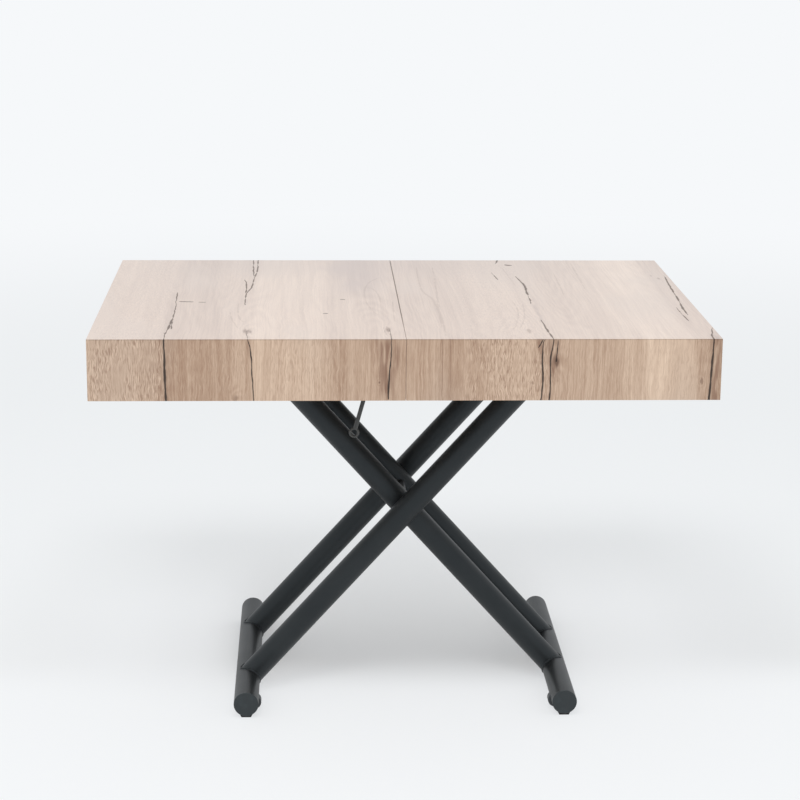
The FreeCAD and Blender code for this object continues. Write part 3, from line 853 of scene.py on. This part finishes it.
print("fibres stand", fibre_height, "m high, cracks fray within", fray_reach, "m")

# %% [markdown]
# ## Seams and folds, and the three oaks
# Fine dark lines show where the wood is joined: the seam between the halves, which fades towards
# the front, the glued fold along the edges, and the lipping of the leaves. Grooves in the mesh
# would have to be very narrow, and lines on the sheet are easier to fade. With them the three
# oaks can be mixed: for the top, the ends and the leaves.

# %% Seams, folds and the three oaks
line_core_share = 3
seam_wander, seam_width, seam_share = 0.0016, 0.0016, 0.75
seam_gone, seam_full = -0.34, -0.18
fold_below, fold_width, fold_share = 0.0008, 0.0014, 0.30
lipping, lipping_width, lipping_share = 0.006, 0.0010, 0.35


def line_at(wire, place, half_width):
    """1 on a thin line where the wire has this value."""
    return abs(wire - place).rise(half_width, half_width / line_core_share)


def front_folds(across, along):
    """Thin dark lines: the seam between the halves, and the glued fold along the edge."""
    wander = ripple("wander", across, along) * seam_wander
    seam = line_at(across + wander, 0.0, seam_width)
    yield seam * along.rise(seam_gone, seam_full) * seam_share
    yield line_at(abs(along), half_depth + fold_below, fold_width) * fold_share


def end_folds(across, along):
    """The glued fold along the edge at the ends."""
    yield line_at(abs(across), half_length + fold_below, fold_width) * fold_share


def leaf_folds(across, along):
    """The glued edge of a leaf's lipping."""
    yield line_at(abs(across), leaf_edge - lipping, lipping_width) * lipping_share


oak_top = oak_finish(
    "oak_top", front_sheet, front_folds, oak_cracks.values(), cross_cracks.values(),
    oak_veins.values(), oak_knots.values(), oak_arches.values(), oak_stains, painted_rear_shades,
)
oak_end = oak_finish("oak_end", end_sheet, end_folds, end_cracks.values())
oak_leaf = oak_finish("oak_leaf", leaf_sheet, leaf_folds)
print("oak nodes:", [len(oak.node_tree.nodes) for oak in (oak_top, oak_end, oak_leaf)])

# %% [markdown]
# ## Powder coat
# The legs are powder-coated in a dark grey that is nearly black. Powder melts into a skin with a
# fine orange-peel texture. A plain glossy black would give hard highlights. A fine bump breaks
# them, and soft clouds in the colour and the roughness keep them broad and slightly uneven.

# %% Powder coat
cool_sheen = paint(223, 238, 248)
coat_sheen_level = 0.42
coat_cloud_low, coat_cloud_high, coat_cloud_light = 0.3, 0.7, 1.35
cloud_gloss, peel_gloss, peel_height = 0.12, 0.08, 0.00006


def cloud_noise(place, scale, detail):
    """Cloudy noise on the piece, with about so many spots a metre."""
    sockets = {"Vector": place, "Scale": scale, "Detail": detail}
    return place.node("ShaderNodeTexNoise", {}, sockets)


def powder_coat(name, colour, roughness):
    """Satin paint with a fine orange-peel skin."""
    finish, place = new_finish(name)
    peel = cloud_noise(place, scale=900.0, detail=2.0)
    cloud = cloud_noise(place, scale=14.0, detail=3.0)
    lighter = brighter(colour, coat_cloud_light)
    uneven = (cloud - noise_middle) * cloud_gloss
    sockets = {
        "Base Color": cloud.rise(coat_cloud_low, coat_cloud_high).tint(colour, lighter),
        "Specular IOR Level": coat_sheen_level,
        "Specular Tint": cool_sheen,
        "Roughness": roughness + uneven + (peel - noise_middle) * peel_gloss,
    }
    close_finish(place, sockets, peel, peel_height)
    return finish


leg_finish = powder_coat("leg_powder_coat", paint(29, 30, 30), roughness=0.44)
frame_finish = powder_coat("frame_powder_coat", paint(24, 25, 26), roughness=0.5)
lever_finish = powder_coat("lever_powder_coat", paint(66, 64, 61), roughness=0.4)
print("powder coats:", leg_finish.name, frame_finish.name, lever_finish.name)

# %% [markdown]
# ## Plastic and rubber
# The caps of the foot tubes, the rollers and the pads come out of moulds, and a mould leaves its
# spark-eroded texture on them. In use they get scuffed a little paler in places. A smooth dark
# shader would look wet, so both are noise: a very fine one for the skin, a coarser one for wear.

# %% Plastic and rubber
wear_low, wear_high, wear_share, wear_light = 0.5, 0.75, 0.6, 1.5
spark_gloss, spark_height = 0.2, 0.00005


def moulded(name, colour, roughness):
    """Plastic or rubber with the fine spark texture of its mould."""
    finish, place = new_finish(name)
    spark = cloud_noise(place, scale=1500.0, detail=3.0)
    wear = cloud_noise(place, scale=60.0, detail=4.0)
    scuffed = brighter(colour, wear_light)
    sockets = {
        "Base Color": (wear.rise(wear_low, wear_high) * wear_share).tint(colour, scuffed),
        "Roughness": roughness + (spark - noise_middle) * spark_gloss,
    }
    close_finish(place, sockets, spark, spark_height)
    return finish


cap_finish = moulded("cap_plastic", paint(36, 43, 46), roughness=0.55)
roller_finish = moulded("roller_nylon", paint(58, 61, 64), roughness=0.5)
pad_finish = moulded("pad_rubber", paint(34, 34, 35), roughness=0.8)
print("moulded:", cap_finish.name, roller_finish.name, pad_finish.name)

# %% [markdown]
# ## Bare metal
# The runners are zinc plated, the pins are ground steel and the axle is a much darker steel. Metal
# shows the way it was worked, as fine lines along a runner or a pin. An anisotropic shader could
# stretch the highlights, but it can't be baked. Lines in the colour, the gloss and the bump can,
# so noise is stretched along the piece: along x for the runners, along y for pins and axle.

# %% Bare metal
lines_along_x, lines_along_y = (6.0, 500.0, 500.0), (400.0, 30.0, 400.0)
line_share, bloom_share, shine_low, shine_high, dullness = 0.5, 0.5, 0.35, 0.65, 0.72
line_gloss, bloom_gloss, line_height = 0.25, 0.1, 0.00003


def drawn_metal(name, colour, roughness, stretch):
    """Bare metal with lines the way it was worked; stretch says how fine the noise is each way."""
    finish, place = new_finish(name)
    fine = place.node("ShaderNodeMapping", {}, {"Vector": place, "Scale": stretch})
    lines = cloud_noise(fine, scale=1.0, detail=3.0)
    bloom = cloud_noise(place, scale=35.0, detail=4.0)
    shine = (bloom * bloom_share + lines * line_share).rise(shine_low, shine_high)
    uneven = (lines - noise_middle) * line_gloss
    sockets = {
        "Base Color": shine.tint(brighter(colour, dullness), colour),
        "Metallic": 1.0,
        "Roughness": roughness + uneven + (bloom - noise_middle) * bloom_gloss,
    }
    close_finish(place, sockets, lines, line_height)
    return finish


zinc_finish = drawn_metal("runner_zinc", paint(190, 193, 196), 0.38, stretch=lines_along_x)
steel_finish = drawn_metal("ground_steel", paint(200, 200, 202), 0.28, stretch=lines_along_y)
# The axle takes a much darker steel than the pins.
dark_axle_finish = drawn_metal("dark_axle_steel", paint(66, 68, 70), 0.45, stretch=lines_along_y)
print("metals:", zinc_finish.name, steel_finish.name, dark_axle_finish.name)

# %% [markdown]
# ## Dressing the solids
# The record says which finish each solid takes, so one table from its slots to the finishes
# dresses nearly all of them. A second table holds the solids that differ: the end boards and the
# stored leaves lie differently on their sheet, the lever is painted paler than the frame and the
# axle takes a much darker steel.

# %% Put each finish on its solids
finishes = {
    "oak": oak_top, "leg_paint": leg_finish, "frame_paint": frame_finish,
    "runner_zinc": zinc_finish, "bright_steel": steel_finish,
    "cap_plastic": cap_finish, "roller_plastic": roller_finish, "pad_rubber": pad_finish,
}
own_finishes = {
    "left_end_board": oak_end, "right_end_board": oak_end,
    "front_leaf": oak_leaf, "rear_leaf": oak_leaf,
    "release_lever": lever_finish, "scissor_axle": dark_axle_finish,
}

for row in frame["record"]["subparts"]:
    finish = own_finishes.get(row["node"], finishes[row["material_slot"]])
    for place in frame["nodes"][row["node"]].material_slots:
        place.material = finish

# %% [markdown]
# ## Welds at the feet
# Each leg ends in a saddle cut and is welded round on its foot tube. The bead is the one
# detail of the base that catches the light, so it is worth its own surface. A ring would miss
# the saddle. Instead, a small circle is carried along the line where the two tubes meet, and it
# swells at every step of the welder's hand.

# %% Surface of a weld bead
bead_radius = 0.0022
bead_step = 0.0035
bead_swell = 0.12
bead_points, bead_sides = 180, 10


def saddle_bead(foot_middle, leg_direction, leg_radius, foot_radius):
    """At a turn a round the leg, the tubes meet sqrt(R^2 - (r cos a)^2) up the leg's own line.

    The bead is a circle round that line, in the plane square to it, of radius times swell.
    """
    turn = whole_turn(bead_points)[:, None]
    across = np.array([0.0, 1.0, 0.0])
    upward = np.cross(across, leg_direction)
    radial = np.cos(turn) * upward + np.sin(turn) * across
    climb = np.sqrt(foot_radius ** 2 - (leg_radius * np.cos(turn)) ** 2)
    line = foot_middle + climb * leg_direction + leg_radius * radial
    tangent = np.roll(line, -1, axis=0) - np.roll(line, 1, axis=0)
    step = np.linalg.norm(tangent, axis=1, keepdims=True)
    tangent = tangent / step
    travelled = np.cumsum(step / 2)[:, None]
    outward = radial - tangent * np.sum(radial * tangent, axis=1, keepdims=True)
    outward = outward / np.linalg.norm(outward, axis=1, keepdims=True)
    aside = np.cross(tangent, outward)
    steps = np.round(travelled[-1] / bead_step)
    swell = 1 + bead_swell * np.abs(np.sin(np.pi * steps * travelled / travelled[-1]))
    ring = whole_turn(bead_sides)[None, :, None]
    section = np.cos(ring) * outward[:, None] + np.sin(ring) * aside[:, None]
    return line[:, None] + bead_radius * swell[:, None] * section


print("bead:", bead_points, "x", bead_sides, "points, a swell every", bead_step, "m")

# %% [markdown]
# The four beads find their tubes by themselves: radii and heights come from the boxes of the
# solids, and the way a leg leans from the joint at its upper end. Typed numbers would be left
# behind when a size changes. Each bead rides on its leg frame and takes the colour of the legs.

# %% Weld beads
joint_at = {j["name"]: np.array(j["pos_m"]) for j in frame["joints"] if "pos_m" in j}
leg_frames = {"outer": ("left_foot", "top_level"), "inner": ("right_foot", "gas_rod_eye")}
leg_sides = {"front": -1, "rear": 1}


def middle_and_size(node):
    """Middle of a solid's box, and its three lengths."""
    low, high = (np.array(corner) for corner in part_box(node))
    return (low + high) / 2, high - low


foot_radius = middle_and_size("left_foot")[1][2] / 2
leg_radius = middle_and_size("inner_front_leg")[1][1] / 2
for frame_name, (foot, pivot) in leg_frames.items():
    for side_name, side in leg_sides.items():
        low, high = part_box(frame_name + "_" + side_name + "_leg")
        leg_y = side * (max(abs(low.y), abs(high.y)) - leg_radius)
        start = middle_and_size(foot)[0] * [1, 0, 1] + [0, leg_y, 0]
        end = joint_at[pivot] * [1, 0, 1] + [0, leg_y, 0]
        direction = (end - start) / np.linalg.norm(end - start)
        points = saddle_bead(start, direction, leg_radius, foot_radius)
        bead = grid_mesh(frame_name + "_" + side_name + "_weld", points, True, True)
        bead.data.materials.append(finishes["leg_paint"])
        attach(bead, frame_name + "_frame")
        length = np.linalg.norm(np.diff(points[:, 0], axis=0), axis=1).sum()
        print(bead.name, "length", round(float(length), 3), "m")

# %% [markdown]
# ## The size
# The dressed table stays as large as its solids: nothing in this script moves or scales them.
